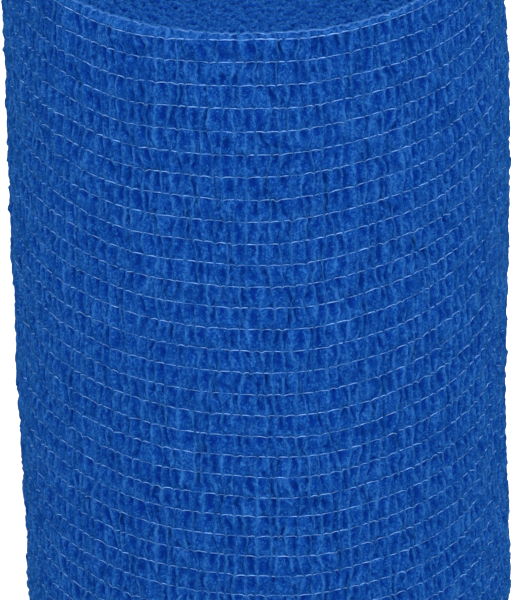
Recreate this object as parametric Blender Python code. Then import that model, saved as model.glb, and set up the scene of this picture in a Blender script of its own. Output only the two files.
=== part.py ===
"""A cohesive bandage roll: one long strip of crinkled elastic cloth, wound without a core.

The roll stands on one wound end. Metres, +Z up along the winding axis, origin at the centre of
the base. -Y is the front. The strip's cut end lies flat at the back, one layer proud of the turn
below it, so a level cut through the roll is one turn of a spiral with a single step.
"""

import math
from collections import namedtuple

import bmesh
import bpy

BANDAGE_WIDTH = 0.100  # the strip's width, which is the roll's height
ROLL_RADIUS = 0.0282  # the outermost turn's mean radius
LAYER = 0.0010  # what one wound turn adds to the radius

EYE_HALF_WIDTH = 0.0040  # the open eye at the start of the winding, pressed slightly oval
EYE_HALF_DEPTH = 0.0032

COLUMNS = 144  # columns round the roll
CUT_END_ANGLE = math.radians(90)  # anticlockwise from +X, so the back
CUT_END_DROP = math.radians(1.2)  # the turn in which the surface drops off the cut end
SHARP_ANGLE = math.radians(35)

# The side is a little uneven, and each end is drawn in. The insets are how far the -X side, the
# front and back, and the +X side stand inside ROLL_RADIUS.
Level = namedtuple("Level", "height in_left in_front in_right")
LEVELS = (
    Level(0.0000, 0.0012, 0.0012, 0.0013),
    Level(0.0005, 0.0006, 0.0006, 0.0007),
    Level(0.0020, 0.0001, 0.0002, 0.0003),
    Level(0.0050, -0.0004, 0.0000, -0.0001),
    Level(0.0100, -0.0006, 0.0000, -0.0003),
    Level(0.0180, -0.0004, 0.0000, 0.0000),
    Level(0.0280, -0.0004, -0.0001, 0.0004),
    Level(0.0380, -0.0004, -0.0001, 0.0004),
    Level(0.0480, -0.0002, -0.0002, 0.0003),
    Level(0.0580, -0.0001, -0.0002, 0.0001),
    Level(0.0680, 0.0001, -0.0002, 0.0000),
    Level(0.0800, 0.0004, -0.0001, 0.0001),
    Level(0.0880, 0.0005, 0.0000, 0.0006),
    Level(0.0940, 0.0006, 0.0001, 0.0007),
    Level(0.0992, 0.0007, 0.0002, 0.0008),
    Level(BANDAGE_WIDTH, 0.0012, 0.0008, 0.0013),
)

# How far each ring of an end face lies inside the strip's edges: the turns near the eye were
# wound first and have crept inwards a little. share runs from the eye, 0, to the rim, 1. The
# base keeps a flat ring to stand on.
EndRing = namedtuple("EndRing", "share top_sink base_sink")
END_RINGS = (
    EndRing(0.00, 0.0014, 0.0010),
    EndRing(0.15, 0.0008, 0.0004),
    EndRing(0.40, 0.0002, 0.0000),
    EndRing(0.70, 0.0000, 0.0000),
)

FABRIC_COLOUR = (0.009, 0.079, 0.345, 1.0)
FABRIC_ROUGHNESS = 0.9


def clear_scene():
    for thing in list(bpy.data.objects):
        bpy.data.objects.remove(thing, do_unlink=True)


def fabric_material():
    material = bpy.data.materials.new("bandage_fabric")
    material.use_nodes = True
    shader = material.node_tree.nodes["Principled BSDF"]
    shader.inputs["Base Color"].default_value = FABRIC_COLOUR
    shader.inputs["Roughness"].default_value = FABRIC_ROUGHNESS
    shader.inputs["Metallic"].default_value = 0.0
    return material


def side_radius(angle, level, wound):
    """The outer radius at a level, where wound runs from 0 to 1 along the outermost turn."""
    across = math.cos(angle)
    inset = level.in_front * (1 - across**2)
    inset += (level.in_right if across > 0 else level.in_left) * across**2
    return ROLL_RADIUS + LAYER * (wound - 0.5) - inset


def section(column):
    """One radial section of the roll as a closed loop, from the eye's foot out, up and back.

    The columns start just past the cut end and run once round to its very edge.
    """
    wound = column / (COLUMNS - 1)
    angle = CUT_END_ANGLE + CUT_END_DROP + (2 * math.pi - CUT_END_DROP) * wound
    across, along = math.cos(angle), math.sin(angle)

    def end_face(level, sinks):
        rim = side_radius(angle, level, wound)
        ring_points = []
        for ring, sink in zip(END_RINGS, sinks):
            x = EYE_HALF_WIDTH * across * (1 - ring.share) + rim * across * ring.share
            y = EYE_HALF_DEPTH * along * (1 - ring.share) + rim * along * ring.share
            ring_points.append((x, y, sink))
        return ring_points

    base = end_face(LEVELS[0], [ring.base_sink for ring in END_RINGS])
    side = []
    for level in LEVELS:
        radius = side_radius(angle, level, wound)
        side.append((radius * across, radius * along, level.height))
    top = end_face(LEVELS[-1], [BANDAGE_WIDTH - ring.top_sink for ring in END_RINGS])
    return base + side + top[::-1]


def centre_over_origin(mesh):
    """Puts the middle of the mesh's extent in X and Y on the Z axis."""
    for axis in (0, 1):
        places = [vertex.co[axis] for vertex in mesh.verts]
        middle = (min(places) + max(places)) / 2
        for vertex in mesh.verts:
            vertex.co[axis] -= middle


def bandage_roll(collection):
    """Lofts the sections once round. The last joins the first down the step of the cut end."""
    solid = bmesh.new()
    columns = [[solid.verts.new(point) for point in section(c)] for c in range(COLUMNS)]
    points = len(columns[0])
    for c in range(COLUMNS):
        here = columns[c]
        there = columns[(c + 1) % COLUMNS]
        for p in range(points):
            q = (p + 1) % points
            solid.faces.new((here[p], there[p], there[q], here[q]))
    centre_over_origin(solid)
    bmesh.ops.recalc_face_normals(solid, faces=solid.faces)
    mesh = bpy.data.meshes.new("bandage_roll")
    solid.to_mesh(mesh)
    solid.free()
    mesh.shade_smooth()
    mesh.set_sharp_from_angle(angle=SHARP_ANGLE)
    mesh.materials.append(fabric_material())
    roll = bpy.data.objects.new("bandage_roll", mesh)
    collection.objects.link(roll)


def main():
    clear_scene()
    collection = bpy.data.collections.new("cohesive_bandage_roll")
    bpy.context.scene.collection.children.link(collection)
    bandage_roll(collection)


main()
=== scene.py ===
"""The looks of a cohesive bandage roll: crinkled blue cloth with pale elastic threads.

The strip is wound in a spiral round an open eye. Its outermost turn is modelled pleat by pleat,
in sectors. The turns inside it are one long spiral strip, whose edges make the two wound ends.
Metres throughout, +Z up, -Y the front, angles anticlockwise from +X.
"""

import math
from collections import namedtuple

import bpy
import numpy as np
from mathutils import Matrix, Vector


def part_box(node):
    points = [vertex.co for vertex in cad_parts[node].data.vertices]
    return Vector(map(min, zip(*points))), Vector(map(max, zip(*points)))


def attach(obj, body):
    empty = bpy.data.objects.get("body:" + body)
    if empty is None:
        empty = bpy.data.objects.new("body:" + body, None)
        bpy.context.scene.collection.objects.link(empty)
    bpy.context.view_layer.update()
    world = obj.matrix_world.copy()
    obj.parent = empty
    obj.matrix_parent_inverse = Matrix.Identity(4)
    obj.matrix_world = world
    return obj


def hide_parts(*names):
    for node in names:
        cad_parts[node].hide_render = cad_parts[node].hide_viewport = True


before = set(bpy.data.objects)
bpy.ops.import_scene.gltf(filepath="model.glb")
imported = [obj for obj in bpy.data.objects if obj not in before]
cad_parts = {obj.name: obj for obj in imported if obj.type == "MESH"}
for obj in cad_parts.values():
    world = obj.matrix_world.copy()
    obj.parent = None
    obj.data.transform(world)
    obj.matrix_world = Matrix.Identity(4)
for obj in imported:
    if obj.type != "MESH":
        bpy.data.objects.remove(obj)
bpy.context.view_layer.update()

MM = 0.001
NODE = "bandage_roll"
BODY = "root"

# The roll as wound, the same sizes as the CAD solid's.
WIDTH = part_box(NODE)[1][2]
ROLL_RADIUS = 28.2 * MM
LAYER = 1.0 * MM
TURNS_INSIDE = 24
EYE_HALF_WIDTH = 4.0 * MM
EYE_HALF_DEPTH = 3.2 * MM
CUT_END_ANGLE = math.radians(90)

Level = namedtuple("Level", "height in_left in_front in_right")  # insets from ROLL_RADIUS
LEVELS = (
    Level(0.0 * MM, 1.2 * MM, 1.2 * MM, 1.3 * MM),
    Level(0.5 * MM, 0.6 * MM, 0.6 * MM, 0.7 * MM),
    Level(2.0 * MM, 0.1 * MM, 0.2 * MM, 0.3 * MM),
    Level(5.0 * MM, -0.4 * MM, 0.0 * MM, -0.1 * MM),
    Level(10.0 * MM, -0.6 * MM, 0.0 * MM, -0.3 * MM),
    Level(18.0 * MM, -0.4 * MM, 0.0 * MM, 0.0 * MM),
    Level(28.0 * MM, -0.4 * MM, -0.1 * MM, 0.4 * MM),
    Level(38.0 * MM, -0.4 * MM, -0.1 * MM, 0.4 * MM),
    Level(48.0 * MM, -0.2 * MM, -0.2 * MM, 0.3 * MM),
    Level(58.0 * MM, -0.1 * MM, -0.2 * MM, 0.1 * MM),
    Level(68.0 * MM, 0.1 * MM, -0.2 * MM, 0.0 * MM),
    Level(80.0 * MM, 0.4 * MM, -0.1 * MM, 0.1 * MM),
    Level(88.0 * MM, 0.5 * MM, 0.0 * MM, 0.6 * MM),
    Level(94.0 * MM, 0.6 * MM, 0.1 * MM, 0.7 * MM),
    Level(99.2 * MM, 0.7 * MM, 0.2 * MM, 0.8 * MM),
    Level(100.0 * MM, 1.2 * MM, 0.8 * MM, 1.3 * MM),
)

# The cloth: elastic threads run round the roll, and the cloth between them stands in pleats.
THREADS = 36
THREAD_PITCH = 2.8 * MM
TOP_MARGIN = 0.43 * MM
THREAD_RADIUS = 0.06 * MM
SECTORS = 5
PLEATS_PER_SECTOR = 30
PLEATS = SECTORS * PLEATS_PER_SECTOR
PLEATS_TUCKED = 3  # pleats of the outer turn that lie under the cut end
TURN_LENGTH = 2 * math.pi * ROLL_RADIUS
PLEAT = TURN_LENGTH / PLEATS
CREST_ALLOWANCE = 0.23 * MM  # the pleats' mean surface lies this far inside the roll's radius
CLOTH_THICKNESS = 0.6 * MM


def axis_offset():
    """Where the winding axis stands: the CAD solid is centred on its own extent, not its axis."""
    angles = np.linspace(0, 2 * math.pi, 1441) + CUT_END_ANGLE
    wound = np.linspace(0, 1, 1441)
    low, high = np.full(2, np.inf), np.full(2, -np.inf)
    for level in LEVELS:
        radius = rim_radius(angles, level.height, wound)
        points = np.stack([radius * np.cos(angles), radius * np.sin(angles)], axis=1)
        low = np.minimum(low, points.min(axis=0))
        high = np.maximum(high, points.max(axis=0))
    return -(low + high) / 2


def rim_radius(angle, height, wound):
    """The outer turn's radius, where wound runs from 0 to 1 along it up to the cut end."""
    heights = [level.height for level in LEVELS]
    in_left = np.interp(height, heights, [level.in_left for level in LEVELS])
    in_front = np.interp(height, heights, [level.in_front for level in LEVELS])
    in_right = np.interp(height, heights, [level.in_right for level in LEVELS])
    across = np.cos(angle)
    inset = in_front * (1 - across**2) + np.where(across > 0, in_right, in_left) * across**2
    return ROLL_RADIUS + LAYER * (wound - 0.5) - inset


AXIS = axis_offset()


# A gentle random surface: its spread, how many waves make it up, and the range of their lengths.
Waves = namedtuple("Waves", "spread count shortest longest")


def waves(rng, along, up, sizes):
    """A gentle random surface, from plane waves in every direction."""
    total = np.zeros(np.broadcast(along, up).shape)
    for _ in range(sizes.count):
        heading = rng.uniform(0, 2 * math.pi)
        number = 2 * math.pi / rng.uniform(sizes.shortest, sizes.longest)
        phase = rng.uniform(0, 2 * math.pi)
        travel = along * math.cos(heading) + up * math.sin(heading)
        total = total + np.sin(number * travel + phase)
    return sizes.spread * (total * math.sqrt(2 / sizes.count))


def patches(rng, along, up, size_along, size_up):
    """A random surface of soft patches of about this size, with a spread near one half."""
    across = (along - along.min()) / size_along
    down = (up - up.min()) / size_up
    i, j = np.floor(across).astype(int), np.floor(down).astype(int)
    lattice = rng.normal(size=(i.max() + 2, j.max() + 2))
    f, g = across - i, down - j
    f, g = f * f * (3 - 2 * f), g * g * (3 - 2 * g)
    near = lattice[i, j] * (1 - f) + lattice[i + 1, j] * f
    far = lattice[i, j + 1] * (1 - f) + lattice[i + 1, j + 1] * f
    return near * (1 - g) + far * g


def wander(rng, rows, columns, hold):
    """Unit random values in rows and columns, of which each row keeps some of the row above."""
    values = rng.normal(size=(rows, columns))
    for row in range(1, rows):
        values[row] = hold * values[row - 1] + math.sqrt(1 - hold**2) * values[row]
    return values


# ---------------------------------------------------------------------------------------------
# Meshes


# The UV map's rows fill this share of its width, and the end caps stand beside them.
UV_SIDES = 0.98
UV_LOOP = 0.97  # what a loop of points fills of its row
UV_CAP_OUTER = 0.984
UV_CAP_INNER = 0.990
UV_SECOND_CAP = 0.008  # how far beside the first cap the second stands


def strip_mesh(name, loops, outer, row_columns, attributes, outer_share=0.9, seams=None):
    """A closed strip: one loop of points for each column, joined along and capped at both ends.

    loops is columns x points x 3. The first `outer` points of a loop run down its outer side and
    the others come back up the inner. row_columns is how many columns share a row of the UV map.
    seams holds the normals that the first and the last column share with the next pieces.
    """
    columns, points = loops.shape[:2]
    vertex = np.arange(columns * points).reshape(columns, points)
    after = np.roll(vertex, -1, axis=1)
    sides = np.stack([vertex[:-1], after[:-1], after[1:], vertex[1:]], axis=-1).reshape(-1, 4)
    cap = cap_triangles(loops[0], outer)
    caps = np.concatenate([vertex[0][cap[:, ::-1]], vertex[-1][cap]])
    corners = np.concatenate([sides.reshape(-1), caps.reshape(-1)])
    starts = np.concatenate([np.arange(len(sides)) * 4, sides.size + np.arange(len(caps)) * 3])
    smooth = np.arange(len(starts)) < len(sides)
    uv = np.concatenate(
        [side_uv(columns, points, outer, row_columns, outer_share), cap_uv(loops[0], cap, outer)]
    )
    mesh = new_mesh(name, loops, corners, starts, smooth, uv, attributes)
    if seams is not None:
        normals = np.zeros((columns * points, 3))
        normals[vertex[0, :outer]] = seams[0]
        normals[vertex[-1, :outer]] = seams[1]
        at_corners = normals[corners]
        at_corners[sides.size :] = 0
        mesh.normals_split_custom_set(at_corners.tolist())
    return new_piece(name, mesh)


def side_uv(columns, points, outer, row_columns, outer_share):
    """The UV places of a strip's side faces, its columns laid out in rows one above another."""
    share = np.concatenate(
        [
            np.linspace(0, outer_share, outer),
            np.linspace(outer_share, UV_LOOP, points - outer + 2)[1:],
        ]
    )
    map_rows = math.ceil((columns - 1) / row_columns)
    column = np.arange(columns - 1)
    row = column // row_columns
    left = (column % row_columns) / row_columns * UV_SIDES
    right = left + UV_SIDES / row_columns
    top = (row[:, None] + share[None, :-1]) / map_rows
    bottom = (row[:, None] + share[None, 1:]) / map_rows
    left = np.broadcast_to(left[:, None], top.shape)
    right = np.broadcast_to(right[:, None], top.shape)
    return quad_uv(left, right, top, bottom).reshape(-1, 2)


def quad_uv(left, right, top, bottom):
    """The four UV corners of each quad, in the order of its vertices."""
    return np.stack(
        [
            np.stack([left, top], -1),
            np.stack([left, bottom], -1),
            np.stack([right, bottom], -1),
            np.stack([right, top], -1),
        ],
        axis=2,
    )


def cap_uv(loop, cap, outer):
    depth = np.where(np.arange(len(loop)) < outer, UV_CAP_OUTER, UV_CAP_INNER)
    height = loop[:, 2]
    height = (height - height.min()) / np.ptp(height)
    flat = np.stack([depth, height], axis=1)
    second = flat + [UV_SECOND_CAP, 0]
    return np.concatenate([flat[cap[:, ::-1]].reshape(-1, 2), second[cap].reshape(-1, 2)])


def new_mesh(name, points, corners, starts, smooth, uv, attributes):
    """A mesh from flat arrays, with a UV map and point attributes."""
    mesh = bpy.data.meshes.new(name)
    mesh.vertices.add(points.size // 3)
    mesh.vertices.foreach_set("co", points.reshape(-1))
    mesh.loops.add(len(corners))
    mesh.loops.foreach_set("vertex_index", corners.astype(np.int32))
    mesh.polygons.add(len(starts))
    mesh.polygons.foreach_set("loop_start", starts.astype(np.int32))
    mesh.update(calc_edges=True)
    mesh.polygons.foreach_set("use_smooth", smooth)
    layer = mesh.uv_layers.new(name="OFBake")
    layer.uv.foreach_set("vector", uv.astype(np.float32).reshape(-1))
    for key, values in attributes.items():
        layer = mesh.attributes.new(key, "FLOAT", "POINT")
        layer.data.foreach_set("value", values.astype(np.float32).reshape(-1))
    mesh.update()
    return mesh


def new_piece(name, mesh):
    piece = bpy.data.objects.new(name, mesh)
    bpy.context.scene.collection.objects.link(piece)
    return piece


def cap_triangles(loop, outer):
    """Triangles across one loop, zipped down between its outer side and its inner side."""
    down = list(range(outer))
    up = list(range(len(loop) - 1, outer - 1, -1))
    triangles = []
    a = b = 0
    while a < len(down) - 1 or b < len(up) - 1:
        outer_next = loop[down[a + 1]][2] if a < len(down) - 1 else -np.inf
        inner_next = loop[up[b + 1]][2] if b < len(up) - 1 else -np.inf
        if outer_next >= inner_next:
            triangles.append((down[a], down[a + 1], up[b]))
            a += 1
        else:
            triangles.append((down[a], up[b + 1], up[b]))
            b += 1
    return np.array(triangles)


def place(angle, radius, height):
    return np.stack(
        [AXIS[0] + radius * np.cos(angle), AXIS[1] + radius * np.sin(angle), height], axis=-1
    )


# ---------------------------------------------------------------------------------------------
# The pleated cloth of the outer turn

# How far the thread lines lie below their even places, by the distance below the top edge. The
# last five columns are places round the front. SAG_TURNS has them in turns from the cut end,
# between the two places behind which nothing sags.
Sag = namedtuple("Sag", "below_top left left_front front right_front right")
SAGS = (
    Sag(0.0 * MM, 0.3 * MM, 0.7 * MM, 0.0 * MM, 0.6 * MM, 0.6 * MM),
    Sag(3.0 * MM, 0.5 * MM, 0.5 * MM, -0.2 * MM, 0.4 * MM, 1.1 * MM),
    Sag(8.0 * MM, 0.5 * MM, 0.6 * MM, -0.2 * MM, 0.4 * MM, 1.1 * MM),
    Sag(16.0 * MM, 0.6 * MM, 0.5 * MM, 0.0 * MM, 0.1 * MM, 0.3 * MM),
    Sag(27.0 * MM, -0.1 * MM, 0.1 * MM, 0.0 * MM, -0.1 * MM, -0.3 * MM),
    Sag(38.0 * MM, 0.0 * MM, -0.2 * MM, 0.0 * MM, 0.2 * MM, -0.9 * MM),
    Sag(50.0 * MM, 0.0 * MM, 0.0 * MM, 0.3 * MM, 0.6 * MM, 0.0 * MM),
    Sag(61.0 * MM, 0.1 * MM, -0.2 * MM, 0.2 * MM, 0.4 * MM, 0.8 * MM),
    Sag(72.0 * MM, -0.1 * MM, -0.3 * MM, -0.2 * MM, 0.4 * MM, 0.7 * MM),
    Sag(90.0 * MM, 0.0 * MM, 0.0 * MM, 0.0 * MM, 0.0 * MM, 0.0 * MM),
)
RIM_DROP = Sag(0.0, 0.0 * MM, 0.0 * MM, 0.0 * MM, 0.4 * MM, 0.4 * MM)  # of the top edge itself
SAG_TURNS = (0.17, 0.34, 0.42, 0.50, 0.58, 0.66, 0.83)


def sag_round(sag, turns):
    """A sag's size round the roll, which is nothing at the back."""
    sizes = (0, sag.left, sag.left_front, sag.front, sag.right_front, sag.right, 0)
    return np.interp(turns % 1, SAG_TURNS, sizes)


# Rows of vertices, as shares of the way from one thread line, or edge, to the next.
ROW_STEPS = (0.0, 0.04, 0.12, 0.24, 0.38, 0.52, 0.66, 0.80, 0.92)
TOP_STEPS = (0.0, 0.25, 0.55, 0.82)  # above the first thread line
BASE_STEPS = (0.0, 0.15, 0.4, 0.7, 1.0)  # below the last one
CELL_COLUMNS = 6  # from one pleat to the next: crest, two in a hollow, vein, two in a hollow
# Painted highlight: each column's share of the lighter colour painted on the crests, half as much
# on the vein.
CREST_HIGHLIGHTS = (1.0, 0.1, 0.0, 0.5, 0.0, 0.1)  # how much of a crest each of those columns is
LEAST_GAP = 0.5 * MM  # between neighbouring pleats
GAP_PASSES = 4

# Spreads of how a pleat strays: off its even place at a thread line, and between two lines. What
# is held is the share of a line's strays that the next line keeps.
STRAY = 0.26 * MM
STRAY_HELD = 0.15
BOW = 0.10 * MM
SNAKE = 0.06 * MM
SEAM_STRAY = 0.12 * MM
SEAM_WAVE = (3, 5)  # in lines to a radian
SEAM_PHASE = (0, 6)
LINE_JOG = 0.02 * MM  # of a thread line at each pleat
LINE_WAVES = 4
LINE_WAVE = 0.05 * MM  # each of them
LINE_WAVE_LENGTH = (12, 30)  # in millimetres
LINE_WAVE_HELD = 0.85

# Where a vein lies between two crests, as a share of the way, and how that wanders.
VEIN_SPREAD = 0.2
VEIN_HELD = 0.2
VEIN_RANGE = (0.16, 0.84)
VEIN_BOW = 0.12
VEIN_BOWED_RANGE = (0.14, 0.86)

# The cloth puffs out between two thread lines and is drawn in just below each.
PUFF = 0.10 * MM
PUFF_POWER = 0.6
DRAWN_IN = 0.06 * MM
DRAWN_IN_STEP = 0.12
DRAWN_IN_WIDTH = 0.1
SWELL = Waves(0.045 * MM, 10, 5 * MM, 18 * MM)

# The band above the first thread line has lower pleats, a painted highlight and less painted shade
# in its pockets.
TOP_BAND_RELIEF = 0.4
TOP_BAND_HIGHLIGHT = 0.4
TOP_BAND_POCKET_SHADE = 0.5
FRAY = Waves(0.05 * MM, 10, 0.7 * MM, 3 * MM)  # of the top edge

# Soft random patches all over the cloth: their height, and their size round the roll and up.
Patch = namedtuple("Patch", "height along up")
BROAD_LUMPS = Patch(0.05 * MM, 0.8 * MM, 1.1 * MM)
FINE_LUMPS = Patch(0.08 * MM, 0.42 * MM, 0.5 * MM)
SIDEWAYS = Patch(0.10 * MM, 1.1 * MM, 0.7 * MM)
CREST_HIGHLIGHT_PATCHES = Patch(0.55, 0.9 * MM, 1.2 * MM)  # patches in the painted highlight on the crests, round the mean on the next line
CREST_HIGHLIGHT_MEAN = 0.65
CREST_HIGHLIGHT_RANGE = (0.0, 1.25)

PleatSizes = namedtuple("PleatSizes", "at_thread between spread_at_thread spread_between")
CREST = PleatSizes(0.19 * MM, 0.13 * MM, 0.10 * MM, 0.08 * MM)
VEIN = PleatSizes(-0.11 * MM, 0.0 * MM, 0.05 * MM, 0.10 * MM)
HOLLOW = PleatSizes(-0.17 * MM, -0.08 * MM, 0.03 * MM, 0.07 * MM)

# Small pockets in the cloth between two threads. column is the middle's place across a cell and
# step its share of the way down, each with the range it is drawn from.
Pocket = namedtuple("Pocket", "chance column step length depth")
POCKETS = (
    Pocket(0.92, (2.2, 3.8), (0.14, 0.42), (0.14, 0.36), (0.5, 1.15)),
    Pocket(0.60, (1.8, 4.2), (0.50, 0.90), (0.08, 0.22), (0.4, 1.0)),
    Pocket(0.30, (0.8, 5.2), (0.20, 0.80), (0.10, 0.25), (0.3, 0.8)),
)
POCKET_WIDTH = 0.88  # in columns
POCKET_DEPTH = 0.40 * MM


def puff(step):
    """How far out the cloth puffs, this share of the way between two thread lines."""
    return math.sin(math.pi * step) ** PUFF_POWER if 0 < step < 1 else 0.0


class OuterTurn:
    """The random pleats of the outer turn, as grids of vertices, rows down and columns along."""

    def __init__(self, rng):
        self.rng = rng
        self.lines = THREADS + 2  # with one beyond each edge of the strip
        self.pleats = PLEATS + PLEATS_TUCKED + 1
        bands = self.lines - 1
        self.shift = STRAY * wander(rng, self.lines, self.pleats, STRAY_HELD)
        self.bow = BOW * rng.normal(size=(bands, self.pleats))
        self.snake = SNAKE * rng.normal(size=(bands, self.pleats))
        seams = PLEATS_TUCKED + PLEATS_PER_SECTOR * np.arange(1, SECTORS)
        for seam in seams:  # nearly straight, so that the sectors' ends stay hidden
            slow = np.arange(self.lines) / rng.uniform(*SEAM_WAVE) + rng.uniform(*SEAM_PHASE)
            self.shift[:, seam] = SEAM_STRAY * np.sin(slow)
            self.bow[:, seam] = self.snake[:, seam] = 0
        self.seam_columns = seams * CELL_COLUMNS
        off_middle = VEIN_SPREAD * wander(rng, self.lines, self.pleats, VEIN_HELD)
        self.vein_at = np.clip(0.5 + off_middle, *VEIN_RANGE)
        self.vein_bow = VEIN_BOW * rng.normal(size=(bands, self.pleats))
        self.crest = self.heights(CREST, 1)
        self.vein = self.heights(VEIN, 1)
        self.hollow = self.heights(HOLLOW, 4)
        self.line_steps = LINE_JOG * rng.normal(size=(self.lines, self.pleats))
        self.line_waves = [
            (2 * math.pi / (rng.uniform(*LINE_WAVE_LENGTH) * MM),
             wander(rng, self.lines, 1, LINE_WAVE_HELD)[:, 0])
            for _ in range(LINE_WAVES)
        ]
        self.build()

    def heights(self, sizes, count):
        """Heights over the mean surface: at each thread line, and half way to the next one."""
        at_thread = sizes.at_thread + sizes.spread_at_thread * self.rng.normal(
            size=(count, self.lines, self.pleats)
        )
        between = sizes.between + sizes.spread_between * self.rng.normal(
            size=(count, self.lines - 1, self.pleats)
        )
        return at_thread, between

    def line_height(self, line, along):
        """The height of a thread line above the base, which wavers a little."""
        height = WIDTH - TOP_MARGIN - THREAD_PITCH * (line - 1)
        pleat = along / PLEAT + PLEATS_TUCKED
        height = height + np.interp(pleat, np.arange(self.pleats), self.line_steps[line])
        for number, phase in self.line_waves:
            height = height + LINE_WAVE * np.sin(number * along + phase[line])
        below = TOP_MARGIN + THREAD_PITCH * (line - 1)
        turns = along / TURN_LENGTH
        for above, under in zip(SAGS, SAGS[1:]):
            if above.below_top <= max(below, 0) < under.below_top:
                share = (max(below, 0) - above.below_top) / (under.below_top - above.below_top)
                height = height - sag_round(above, turns) * (1 - share)
                height = height - sag_round(under, turns) * share
        return height

    def rim_height(self, along):
        """The height of the strip's top edge, a little frayed."""
        frayed = np.abs(waves(self.rng, along, 0 * along, FRAY))
        return WIDTH - sag_round(RIM_DROP, along / TURN_LENGTH) - frayed

    def rows(self):
        """Each row's band and its share of the way down it, from edge to edge of the strip."""
        last_margin = WIDTH - TOP_MARGIN - THREAD_PITCH * (THREADS - 1)
        last = last_margin / THREAD_PITCH
        rows = [(0, share) for share in TOP_STEPS]
        rows += [(band, step) for band in range(1, THREADS) for step in ROW_STEPS]
        rows += [(THREADS, last * share) for share in BASE_STEPS]
        return rows

    def pleat_places(self, band, step):
        lean = self.shift[band] * (1 - step) + self.shift[band + 1] * step
        lean = lean + self.bow[band] * math.sin(math.pi * step)
        lean = lean + self.snake[band] * math.sin(2 * math.pi * step)
        places = (np.arange(self.pleats) - PLEATS_TUCKED) * PLEAT + lean
        places[0] -= lean[0]
        places[-1] -= lean[-1]
        for _ in range(GAP_PASSES):
            short = np.maximum(LEAST_GAP - np.diff(places), 0) / 2
            places[:-1] -= short
            places[1:] += short
        return places

    def pockets(self, rows):
        """How far each vertex lies down a pocket, from 0 to about 1."""
        shape = (self.lines, self.pleats - 1, 1)
        total = np.zeros((len(rows), self.pleats - 1, CELL_COLUMNS))
        column = np.arange(CELL_COLUMNS)
        for pocket in POCKETS:
            present = self.rng.uniform(size=shape) < pocket.chance
            middle = self.rng.uniform(*pocket.column, size=shape)
            down = self.rng.uniform(*pocket.step, size=shape)
            length = self.rng.uniform(*pocket.length, size=shape)
            depth = self.rng.uniform(*pocket.depth, size=shape) * present
            for r, (band, step) in enumerate(rows):
                off_column = (column - middle[band]) / POCKET_WIDTH
                off_step = (step - down[band]) / length[band]
                total[r] += depth[band] * np.exp(-(off_column**2) - off_step**2)
        flat = total.reshape(len(rows), -1)
        return np.concatenate([flat, flat[:, -1:]], axis=1)

    def level(self, heights, which, band, step):
        """One of these heights at a place between two thread lines."""
        at_thread, between = heights[0][which], heights[1][which]
        ends = at_thread[band] * (1 - step) + at_thread[band + 1] * step
        return ends * (1 - puff(step)) + between[band] * puff(step)

    def build(self):
        cells = self.pleats - 1
        columns = cells * CELL_COLUMNS + 1
        rows = self.rows()
        self.along = np.zeros((len(rows), columns))
        self.height = np.zeros((len(rows), columns))
        self.rise = np.zeros((len(rows), columns))
        # The painted highlight on the crests, for the cloth's colour.
        self.crest_highlight = np.zeros((len(rows), columns))
        for r, (band, step) in enumerate(rows):
            places = self.pleat_places(band, step)
            gap = np.diff(places)
            vein = self.vein_at[band] * (1 - step) + self.vein_at[band + 1] * step
            vein = vein + self.vein_bow[band] * math.sin(math.pi * step)
            vein = np.clip(vein, *VEIN_BOWED_RANGE)[:-1]
            shares = (0 * vein, vein / 3, 2 * vein / 3, vein,
                      vein + (1 - vein) / 3, vein + 2 * (1 - vein) / 3)
            crest = self.level(self.crest, 0, band, step)
            hollows = [self.level(self.hollow, which, band, step)[:-1] for which in range(4)]
            vein_level = self.level(self.vein, 0, band, step)[:-1]
            levels = (crest[:-1], *hollows[:2], vein_level, *hollows[2:])
            for c in range(CELL_COLUMNS):
                self.along[r, c:-1:CELL_COLUMNS] = places[:-1] + gap * shares[c]
                self.rise[r, c:-1:CELL_COLUMNS] = levels[c]
                self.crest_highlight[r, c:-1:CELL_COLUMNS] = CREST_HIGHLIGHTS[c]
            self.along[r, -1] = places[-1]
            self.rise[r, -1] = crest[-1]
            self.crest_highlight[r, -1] = 1.0
            top = self.line_height(band, self.along[r]) if band else self.rim_height(self.along[r])
            bottom = self.line_height(band + 1, self.along[r])
            self.height[r] = top * (1 - step) + bottom * step
            drawn_in = DRAWN_IN * math.exp(-(((step - DRAWN_IN_STEP) / DRAWN_IN_WIDTH) ** 2))
            self.rise[r] += PUFF * puff(step) - drawn_in
            if band == 0:
                self.rise[r] *= TOP_BAND_RELIEF
        self.crumple(rows)

    def crumple(self, rows):
        """Lumps and pockets all over the pleats, with painted shade in the pockets and a patchy
        painted highlight on the crests.
        """
        puffs = np.array([puff(step) for _, step in rows])[:, None]
        broad = self.patchy(BROAD_LUMPS)
        fine = self.patchy(FINE_LUMPS)
        self.rise += puffs * (broad + fine)
        # The pocket depths also give the painted shade in them: the deeper down a pocket, the
        # darker.
        self.hollows = self.pockets(rows)
        self.rise -= POCKET_DEPTH * self.hollows
        sideways = self.patchy(SIDEWAYS)
        sideways[:, self.seam_columns] = 0
        self.along += puffs * sideways
        # Painted highlight on the crests, stronger in some patches than in others.
        self.crest_highlight *= np.clip(CREST_HIGHLIGHT_MEAN + self.patchy(CREST_HIGHLIGHT_PATCHES), *CREST_HIGHLIGHT_RANGE)
        # Painted highlight on the top band, and less painted shade in its pockets.
        self.crest_highlight[: len(TOP_STEPS)] += TOP_BAND_HIGHLIGHT
        self.hollows[: len(TOP_STEPS)] *= TOP_BAND_POCKET_SHADE
        self.swell = waves(self.rng, self.along, self.height, SWELL)

    def patchy(self, patch):
        return patch.height * patches(self.rng, self.along, self.height, patch.along, patch.up)

    def surface(self, along, height, rise, swell):
        """Points on the outer turn at these places along the strip."""
        wound = along / TURN_LENGTH
        angle = CUT_END_ANGLE + 2 * math.pi * wound
        radius = rim_radius(angle, height, wound) - CREST_ALLOWANCE
        return place(angle, radius + rise + swell, np.maximum(height, 0.0))

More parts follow.
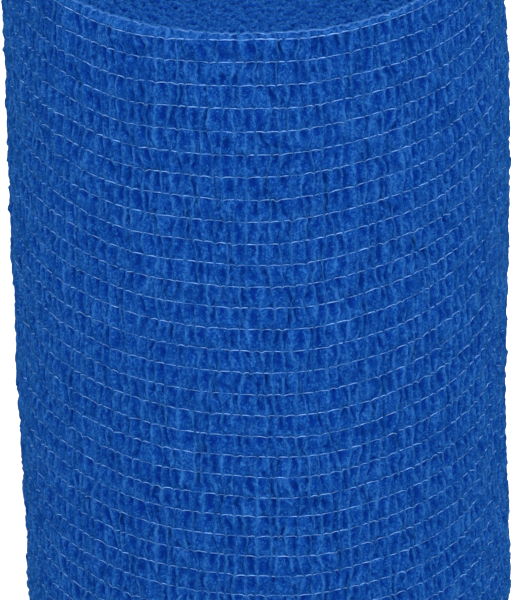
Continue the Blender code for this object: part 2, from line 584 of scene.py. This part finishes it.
    def normals(self, column):
        """The outward normals down one column of vertices."""
        near = slice(max(column - 1, 0), column + 2)
        grids = (self.along, self.height, self.rise, self.swell)
        points = self.surface(*(grid[:, near] for grid in grids))
        round_roll = points[:, -1] - points[:, 0]
        up = -np.gradient(points[:, min(column, 1)], axis=0)
        normals = np.cross(round_roll, up)
        return normals / np.linalg.norm(normals, axis=1, keepdims=True)


INNER_ROWS = 12

# From the outer side over an edge to the inner side: how far in, and how far up at the top edge.
EdgeRow = namedtuple("EdgeRow", "sink up")
EDGE_ROWS = (
    EdgeRow(0.12 * MM, 0.05 * MM),
    EdgeRow(0.36 * MM, 0.04 * MM),
    EdgeRow(0.48 * MM, -0.10 * MM),
)
EDGE_EVEN = 0.1  # how far the edges follow the roll's round and not the pleats
LIP_HIGHLIGHT = 0.8  # how much painted highlight the edges get, as a share of a crest's
# How dark the painted shade in a pocket can get.
HOLLOW_SHADE_LIMIT = 1.2


def outer_sector(turn, name, first, last):
    """One sector of the outer turn, from column first to column last, as a closed strip."""
    cut = slice(first, last + 1)
    along, height, rise = turn.along[:, cut], turn.height[:, cut], turn.rise[:, cut]
    swell = turn.swell[:, cut]
    outer = turn.surface(along, height, rise, swell)
    rows = [outer[r] for r in range(len(outer))]
    marks = [turn.crest_highlight[r, cut] for r in range(len(outer))]
    # The painted shade in the pockets, clipped.
    hollows = [np.clip(turn.hollows[r, cut], 0, HOLLOW_SHADE_LIMIT) for r in range(len(outer))]

    def inner(r, up, sink, even):
        """A row of the strip's edges or inner side, set in by sink from row r.

        An even row, 1, follows the roll's round and not the pleats.
        """
        depth = rise[r] * (1 - even) - sink
        rows.append(turn.surface(along[r], height[r] + up, depth, swell[r]))

    for edge in EDGE_ROWS:
        inner(-1, -edge.up, edge.sink, EDGE_EVEN)
    lowest, highest = len(outer) - len(BASE_STEPS), len(TOP_STEPS)
    for r in np.linspace(lowest, highest, INNER_ROWS).astype(int):
        inner(r, 0.0, CLOTH_THICKNESS, 1.0)
    for edge in reversed(EDGE_ROWS):
        inner(0, edge.up, edge.sink, EDGE_EVEN)
    extra = len(rows) - len(outer)
    blank = np.zeros(last + 1 - first)
    # Painted highlight on the edges, and painted shade all over the inner side, which lies in
    # shade between the turns.
    for e in range(extra):
        lip = e < len(EDGE_ROWS) or e >= extra - len(EDGE_ROWS)
        marks.append(blank + (LIP_HIGHLIGHT if lip else 0.0))
        hollows.append(blank + (0.0 if lip else 1.0))
    loops = np.stack(rows, axis=1)
    attributes = {"crest": np.stack(marks, axis=1), "hollow": np.stack(hollows, axis=1)}
    seams = (turn.normals(first), turn.normals(last))
    return strip_mesh(name, loops, len(outer), last - first, attributes, seams=seams)


# ---------------------------------------------------------------------------------------------
# The elastic threads of the outer turn

THREAD_SIDES = 4
TUBE_LOOP = 0.9  # what a tube fills of its row in the UV map
TUBE_CAP_WIDTH = 0.004
TUBE_SECOND_CAP = 0.006

# Where the threads run, over the pleats' mean surface or, on a crest and in the rim, over the
# cloth itself. The first line lies less deep than the others.
THREAD_RISE = -0.10 * MM
FIRST_THREAD_RISE = -0.04 * MM
THREAD_RISE_SPREAD = 0.02 * MM
OVER_CREST = (-0.20, -0.04)  # in millimetres
OVER_RIM = (-0.14, -0.02)
DEEPEST = -0.30 * MM

# How much of a thread the cloth veils.
VEIL_IN_HOLLOW = (0.0, 0.5)
VEIL_ON_CREST = (0.55, 1.0)
VEIL_IN_RIM = 0.6  # more than it is in a hollow


def threads(turn):
    """One thread along each thread line and one in the rim, dipping between the pleats.

    A thread is plain to see in the hollows. On the crests a veil of cloth covers it.
    """
    rng = turn.rng
    columns = np.arange(0, turn.along.shape[1], 2)
    crossing = columns % CELL_COLUMNS == 0
    tubes, veils = [], []
    for line in range(THREADS + 1):
        row = len(TOP_STEPS) + (line - 1) * len(ROW_STEPS) if line else 0
        along, height, surface, swell = (
            grid[row, columns] for grid in (turn.along, turn.height, turn.rise, turn.swell)
        )
        veil = rng.uniform(*VEIL_IN_HOLLOW, size=len(columns))
        if line:
            rise = FIRST_THREAD_RISE if line == 1 else THREAD_RISE
            rise = rise + THREAD_RISE_SPREAD * rng.normal(size=len(columns))
            over = surface[crossing] + rng.uniform(*OVER_CREST, size=crossing.sum()) * MM
            rise[crossing] = np.maximum(over, DEEPEST)
            veil[crossing] = rng.uniform(*VEIL_ON_CREST, size=crossing.sum())
        else:
            rise = surface + rng.uniform(*OVER_RIM, size=len(columns)) * MM
            veil += VEIL_IN_RIM
        loops = []
        for side in range(THREAD_SIDES):
            turned = 2 * math.pi * side / THREAD_SIDES
            up = THREAD_RADIUS * math.sin(turned)
            out = THREAD_RADIUS * math.cos(turned)
            loops.append(turn.surface(along, height + up, rise + out, swell))
        tubes.append(np.stack(loops[::-1], axis=1))
        veils.append(np.repeat(veil, THREAD_SIDES))
    return tube_mesh("elastic_threads", tubes, {"veil": np.concatenate(veils)})


def tube_mesh(name, tubes, attributes):
    """Closed tubes, one for each array of columns x sides x 3, as one mesh."""
    corners, uv, points = [], [], []
    offset = 0
    for number, loops in enumerate(tubes):
        columns, sides = loops.shape[:2]
        vertex = offset + np.arange(columns * sides).reshape(columns, sides)
        after = np.roll(vertex, -1, axis=1)
        faces = np.stack([vertex[:-1], after[:-1], after[1:], vertex[1:]], -1).reshape(-1, 4)
        caps = np.stack([vertex[0][::-1], vertex[-1]])
        corners.append(np.concatenate([faces, caps]))
        u = np.linspace(0, UV_SIDES, columns)
        v = (number + np.linspace(0, TUBE_LOOP, sides + 1)) / len(tubes)
        left, right = u[:-1, None] + 0 * v[None, :-1], u[1:, None] + 0 * v[None, :-1]
        low, high = v[None, :-1] + 0 * left, v[None, 1:] + 0 * left
        quads = quad_uv(left, right, low, high).reshape(-1, 4, 2)
        beside = UV_CAP_OUTER + TUBE_CAP_WIDTH
        end = np.array(
            [[UV_CAP_OUTER, v[0]], [beside, v[0]], [beside, v[1]], [UV_CAP_OUTER, v[1]]]
        )
        uv.append(np.concatenate([quads, [end, end + [TUBE_SECOND_CAP, 0]]]))
        points.append(loops.reshape(-1, 3))
        offset += columns * sides
    corners = np.concatenate(corners)
    starts = np.arange(len(corners)) * 4
    smooth = np.ones(len(corners), bool)
    points, uv = np.concatenate(points), np.concatenate(uv)
    mesh = new_mesh(name, points, corners.reshape(-1), starts, smooth, uv, attributes)
    return new_piece(name, mesh)


# ---------------------------------------------------------------------------------------------
# The turns inside

INNER_STEP = 0.23 * MM  # between columns of the inner turns
SPIRAL_STEPS = 4001  # that the spiral's length is summed over
INNER_THICKNESS = 0.96 * MM
TOP_SETBACK = 0.3 * MM  # of the edges, below the rim and above the base
BASE_SETBACK = 0.1 * MM
TOP_RAGGED_LIMIT = 0.2 * MM
CREPT_AT_EYE = 1.2 * MM  # the turns wound first have crept inwards at the top
CREPT_AT_BASE = 0.8  # of that at the base
RIPPLE = Waves(0.05 * MM, 8, 0.9 * MM, 1.6 * MM)
RAGGED_TOP = Waves(0.10 * MM, 12, 0.5 * MM, 3 * MM)
RAGGED_BASE = Waves(0.05 * MM, 12, 0.8 * MM, 4 * MM)
LUMPS = 0.10 * MM
LUMP_RANGE = (-1.5, 1.2)
UNEVEN = 0.08 * MM
EDGE_TONES = 0.2
INNER_UV_ROWS = 30

# One loop of the inner turns' section. depth is measured in from the strip's top or base edge, out
# is a share of the half thickness, and crown is 1 on the edges themselves.
Point = namedtuple("Point", "edge depth out hollow crown")
# hollow is painted shade: most on the faces set back below the edges, between the turns, and a
# little on some edges.
INNER_SECTION = (
    Point("top", 0.0 * MM, 0.5, 0.0, 1),
    Point("top", 0.25 * MM, 1.0, 0.4, 0),
    Point("base", 0.25 * MM, 1.0, 0.4, 0),
    Point("base", 0.0 * MM, 0.5, 0.1, 1),
    Point("base", 0.0 * MM, -0.5, 0.1, 1),
    Point("base", 0.25 * MM, -1.0, 0.4, 0),
    Point("top", 0.25 * MM, -1.0, 0.4, 0),
    Point("top", 0.0 * MM, -0.5, 0.1, 1),
    Point("top", -0.02 * MM, 0.0, 0.0, 1),
)


def inner_turns(rng):
    """The strip from the eye out to where the outer turn takes over, under the cut end."""
    first = -TURNS_INSIDE
    last = -PLEATS_TUCKED / PLEATS
    turns = np.linspace(first, last, SPIRAL_STEPS)
    share = (turns - first) / -first
    radius = EYE_HALF_WIDTH * (1 - share) + (ROLL_RADIUS - LAYER / 2) * share
    travelled = np.concatenate([[0], np.cumsum(np.diff(turns) * 2 * math.pi * radius[1:])])
    columns = int(travelled[-1] / INNER_STEP)
    along = np.linspace(0, travelled[-1], columns)
    wound = np.interp(along, travelled, turns)
    share = (wound - first) / -first
    angle = CUT_END_ANGLE + 2 * math.pi * wound
    ripple = waves(rng, along, 0 * along, RIPPLE)
    ragged_top = np.minimum(waves(rng, along, 0 * along, RAGGED_TOP), TOP_RAGGED_LIMIT)
    ragged_base = np.maximum(waves(rng, along, 0 * along, RAGGED_BASE), -BASE_SETBACK)
    crept = CREPT_AT_EYE * (1 - share) ** 3
    drop = sag_round(RIM_DROP, wound) * share
    edges = {
        "top": WIDTH - TOP_SETBACK - crept - drop + ragged_top,
        "base": BASE_SETBACK + CREPT_AT_BASE * crept + ragged_base,
    }
    rows, marks, hollows, crowns = [], [], [], []
    for point in INNER_SECTION:
        sign = -1 if point.edge == "top" else 1
        lumps = LUMPS * np.clip(rng.normal(size=columns), *LUMP_RANGE) * point.crown
        height = np.maximum(edges[point.edge] + sign * (point.depth - lumps), 0.0)
        out = ripple + point.out * INNER_THICKNESS / 2 + UNEVEN * rng.normal(size=columns)
        rim = rim_radius(angle, height, 0.0) - CREST_ALLOWANCE
        x = EYE_HALF_WIDTH * np.cos(angle) * (1 - share) + rim * np.cos(angle) * share
        y = EYE_HALF_DEPTH * np.sin(angle) * (1 - share) + rim * np.sin(angle) * share
        x = x + out * np.cos(angle)
        y = y + out * np.sin(angle)
        rows.append(np.stack([AXIS[0] + x, AXIS[1] + y, height], axis=-1))
        marks.append(EDGE_TONES * point.crown * rng.normal(size=columns))
        # The painted shade of each point of the section.
        hollows.append(np.full(columns, point.hollow))
        crowns.append(np.full(columns, float(point.crown)))
    loops = np.stack(rows, axis=1)
    attributes = {
        "crest": np.stack(marks, axis=1),
        "hollow": np.stack(hollows, axis=1),
        "crown": np.stack(crowns, axis=1),
    }
    row_columns = math.ceil(columns / INNER_UV_ROWS)
    return strip_mesh("inner_turns", loops, 4, row_columns, attributes, outer_share=0.5)


# ---------------------------------------------------------------------------------------------
# Materials


class Nodes:
    """Adds nodes to a material and links them, inputs by name or by number."""

    def __init__(self, name):
        self.material = bpy.data.materials.new(name)
        self.material.use_nodes = True
        self.tree = self.material.node_tree
        self.shader = self.tree.nodes["Principled BSDF"]

    def add(self, kind, settings=None, **inputs):
        node = self.tree.nodes.new(kind)
        for key, value in (settings or {}).items():
            setattr(node, key, value)
        for key, value in inputs.items():
            self.feed(node, key.replace("_", " "), value)
        return node

    def feed(self, node, key, value):
        socket = node.inputs[int(key) if key.isdigit() else key]
        if isinstance(value, bpy.types.NodeSocket):
            self.tree.links.new(value, socket)
        else:
            socket.default_value = value

    def math(self, operation, first, second=0.0, third=0.0):
        node = self.tree.nodes.new("ShaderNodeMath")
        node.operation = operation
        self.feed(node, "0", first)
        self.feed(node, "1", second)
        self.feed(node, "2", third)
        return node.outputs[0]

    def ramp(self, value, *colours):
        """The colour at a value between 0 and 1, the colours evenly spaced."""
        node = self.add("ShaderNodeValToRGB", Fac=value)
        stops = node.color_ramp.elements
        for _ in colours[2:]:
            stops.new(0.5)
        for number, colour in enumerate(colours):
            stops[number].position = number / (len(colours) - 1)
            stops[number].color = (*colour, 1)
        return node.outputs["Color"]

    def gloss(self, settings):
        """Sets values that are the same all over, on the shader's own sockets."""
        for key, value in settings.items():
            self.shader.inputs[key].default_value = value

    def bump(self, strength, distance, height):
        node = self.add("ShaderNodeBump", Strength=strength, Distance=distance, Height=height)
        self.feed(self.shader, "Normal", node.outputs["Normal"])

    def noise(self, vector, scale, detail, roughness=0.5, distortion=0.0):
        node = self.add("ShaderNodeTexNoise", Vector=vector, Scale=scale, Detail=detail,
                        Roughness=roughness, Distortion=distortion)
        return node.outputs["Fac"]

    def spread(self, value, low, high, to_low=0.0, to_high=1.0):
        node = self.add("ShaderNodeMapRange", {"clamp": True}, Value=value, From_Min=low,
                        From_Max=high, To_Min=to_low, To_Max=to_high)
        return node.outputs["Result"]

    def millimetres(self):
        coordinates = self.add("ShaderNodeTexCoord").outputs["Object"]
        scaled = self.add("ShaderNodeVectorMath", {"operation": "SCALE"}, Vector=coordinates,
                          Scale=1 / MM)
        return scaled.outputs[0]

    def attribute(self, name):
        return self.add("ShaderNodeAttribute", {"attribute_name": name}).outputs["Fac"]


CLOTH_DARK = (0.0005, 0.0112, 0.122)
CLOTH_MIDDLE = (0.0014, 0.0283, 0.157)
CLOTH_LIGHT = (0.013, 0.0750, 0.250)

# The cloth's tone is TONE_BASE and these weights of the crests' painted highlight, the hollows'
# painted shade, the noises and so on.
TONE_BASE = 0.11
CREST_HIGHLIGHT_WEIGHT = 0.31
HOLLOW_SHADE_WEIGHT = -0.56
MOTTLE_WEIGHT = 0.07
GRAIN_WEIGHT = 0.34
SPECK_WEIGHT = 0.26
HAIR_WEIGHT = 0.38
GLINT_WEIGHT = 0.45
CROWN_WEIGHT = 0.05
CONTRAST = 1.45
HAIR_STRETCH = (1.0, 1.0, 0.45)  # the loose fibres run more up and down than round


def fabric():
    nodes = Nodes("blue_crepe")
    place_mm = nodes.millimetres()
    # crest is a painted highlight on the outer turn's crests and edges, and random tones on the
    # inner turns' edges. hollow is painted shade in the pockets, on the hidden inner side and
    # between the inner turns.
    crest = nodes.attribute("crest")
    hollow = nodes.attribute("hollow")
    crown = nodes.attribute("crown")  # only the inner turns have it, and elsewhere it reads 0
    mottle = nodes.noise(place_mm, 0.9, 2.0)
    grain = nodes.spread(nodes.noise(place_mm, 2.6, 2.0, 0.6, 0.5), 0.34, 0.66)
    speck = nodes.spread(nodes.noise(place_mm, 7.0, 1.0, 0.5, 0.3), 0.32, 0.68)
    glint = nodes.spread(nodes.noise(place_mm, 5.5, 0.0), 0.67, 0.77)
    tone = TONE_BASE
    for value, weight in (
        (crest, CREST_HIGHLIGHT_WEIGHT),
        (hollow, HOLLOW_SHADE_WEIGHT),
        (mottle, MOTTLE_WEIGHT),
        (grain, GRAIN_WEIGHT),
        (speck, SPECK_WEIGHT),
        (loose_fibres(nodes, place_mm, crown), HAIR_WEIGHT),
        (glint, GLINT_WEIGHT),
        (crown, CROWN_WEIGHT),
    ):
        tone = nodes.math("MULTIPLY_ADD", value, weight, tone)
    tone = nodes.math("MULTIPLY_ADD", tone, CONTRAST, 0.5 - 0.5 * CONTRAST)
    colour = nodes.ramp(tone, CLOTH_DARK, CLOTH_MIDDLE, CLOTH_LIGHT)
    nodes.feed(nodes.shader, "Base Color", colour)
    nodes.feed(nodes.shader, "Roughness", nodes.spread(grain, 0.3, 0.7, 0.74, 0.95))
    nodes.gloss(
        {
            "Specular IOR Level": 0.01,
            "Sheen Weight": 0.06,
            "Sheen Roughness": 0.5,
            "Sheen Tint": (0.02, 0.45, 0.90, 1),
        }
    )
    relief = nodes.math("MULTIPLY", grain, 0.5)
    relief = nodes.math("MULTIPLY_ADD", speck, 0.25, relief)
    nodes.bump(0.6, 0.12 * MM, relief)
    return nodes.material


def loose_fibres(nodes, place_mm, crown):
    """Thin lines where a noise crosses its middle, plain in some places and faint in others."""
    drawn_out = nodes.add("ShaderNodeVectorMath", {"operation": "MULTIPLY"},
                          **{"0": place_mm, "1": HAIR_STRETCH}).outputs[0]
    scale = nodes.spread(crown, 0.0, 1.0, 1.15, 2.2)
    wandering = nodes.noise(drawn_out, scale, 2.0, 0.5, 0.6)
    off_middle = nodes.math("ABSOLUTE", nodes.math("SUBTRACT", wandering, 0.5))
    hair = nodes.spread(off_middle, 0.0, 0.035, 1.0, 0.0)
    faint = nodes.spread(nodes.noise(place_mm, 1.4, 1.0), 0.4, 0.62)
    return nodes.math("MULTIPLY", hair, faint)


THREAD_VEILED = (0.005, 0.060, 0.25)
THREAD_BARE = (0.120, 0.275, 0.63)


def thread_material():
    nodes = Nodes("pale_elastic")
    place_mm = nodes.millimetres()
    patchy = nodes.spread(nodes.noise(place_mm, 0.9, 2.0), 0.34, 0.62)
    unveiled = nodes.spread(nodes.attribute("veil"), 0.0, 1.0, 1.0, 0.05)
    bare = nodes.math("MULTIPLY", patchy, unveiled)
    nodes.feed(nodes.shader, "Base Color", nodes.ramp(bare, THREAD_VEILED, THREAD_BARE))
    nodes.gloss(
        {
            "Roughness": 0.55,
            "Specular IOR Level": 0.4,
            "Specular Tint": (0.4, 0.65, 1.0, 1),
        }
    )
    nodes.bump(0.4, 0.02 * MM, nodes.noise(place_mm, 9.0, 1.0))
    return nodes.material


def floor_material():
    nodes = Nodes("white_floor")
    place_mm = nodes.millimetres()
    cloud = nodes.spread(nodes.noise(place_mm, 0.004, 2.0), 0.3, 0.7, 0.93, 0.95)
    white = nodes.add("ShaderNodeCombineColor", Red=cloud, Green=cloud, Blue=cloud)
    nodes.feed(nodes.shader, "Base Color", white.outputs[0])
    nodes.gloss({"Roughness": 0.9, "Specular IOR Level": 0.1})
    return nodes.material


# ---------------------------------------------------------------------------------------------
# The stage

CAMERA_DISTANCE = 0.5838  # from the aim point
CAMERA_ELEVATION = math.radians(34.11)
CAMERA_ROLL = -0.0309
CAMERA_LENS = 306.0
AIM_BELOW_TOP = 51.93 * MM
AIM_ASIDE = -0.56 * MM


def camera():
    data = bpy.data.cameras.new("camera")
    data.lens = CAMERA_LENS
    data.sensor_width = 36.0
    data.clip_start = 0.01
    data.clip_end = 20.0
    aim = Vector((AXIS[0] + AIM_ASIDE, AXIS[1], WIDTH - AIM_BELOW_TOP))
    back = Vector((0, -math.cos(CAMERA_ELEVATION), math.sin(CAMERA_ELEVATION)))
    item = bpy.data.objects.new("camera", data)
    bpy.context.scene.collection.objects.link(item)
    turn = (-back).to_track_quat("-Z", "Y").to_matrix().to_4x4()
    roll = Matrix.Rotation(CAMERA_ROLL, 4, "Z")
    item.matrix_world = Matrix.Translation(aim + back * CAMERA_DISTANCE) @ turn @ roll
    bpy.context.scene.camera = item


# Disk lights, all turned to the roll's middle.
Light = namedtuple("Light", "name place size power")
LIGHTS = (
    Light("key", (0.02, -0.60, 0.75), 0.26, 10.0),
    Light("fill_left", (-0.8, -0.5, 0.45), 0.5, 2.3),
    Light("fill_right", (0.8, -0.5, 0.45), 0.5, 2.8),
    Light("back", (0.1, 0.9, 0.6), 0.5, 7.0),
)
WORLD_STRENGTH = 0.85
FLOOR_SIZE = 6.0


def area_light(light):
    data = bpy.data.lights.new(light.name, "AREA")
    data.shape = "DISK"
    data.size = light.size
    data.energy = light.power
    item = bpy.data.objects.new(light.name, data)
    bpy.context.scene.collection.objects.link(item)
    item.location = light.place
    towards = Vector((0, 0, WIDTH / 2)) - Vector(light.place)
    item.rotation_euler = towards.to_track_quat("-Z", "Y").to_euler()


def stage():
    bpy.ops.mesh.primitive_plane_add(size=FLOOR_SIZE, location=(0, 0, 0))
    floor = bpy.context.object
    floor.name = "floor"
    floor.data.materials.append(floor_material())
    world = bpy.data.worlds.new("studio")
    world.use_nodes = True
    background = world.node_tree.nodes["Background"]
    background.inputs["Color"].default_value = (1, 1, 1, 1)
    background.inputs["Strength"].default_value = WORLD_STRENGTH
    bpy.context.scene.world = world
    bpy.context.scene.view_settings.view_transform = "Standard"
    for light in LIGHTS:
        area_light(light)


# ---------------------------------------------------------------------------------------------
# The roll


SEED = 7


def main():
    rng = np.random.default_rng(SEED)
    cloth = fabric()
    turn = OuterTurn(rng)
    start = 0
    sectors = []
    for number in range(SECTORS):
        pleats = PLEATS_PER_SECTOR + (PLEATS_TUCKED if number == 0 else 0)
        end = start + pleats * CELL_COLUMNS
        piece = outer_sector(turn, f"outer_turn_{number + 1}", start, end)
        piece.data.materials.append(cloth)
        sectors.append(piece)
        start = end
    elastic = threads(turn)
    elastic.data.materials.append(thread_material())
    inside = inner_turns(rng)
    inside.data.materials.append(cloth)
    pieces = sectors + [elastic, inside]
    for piece in pieces:
        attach(piece, BODY)
        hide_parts(NODE)
    camera()
    stage()


main()
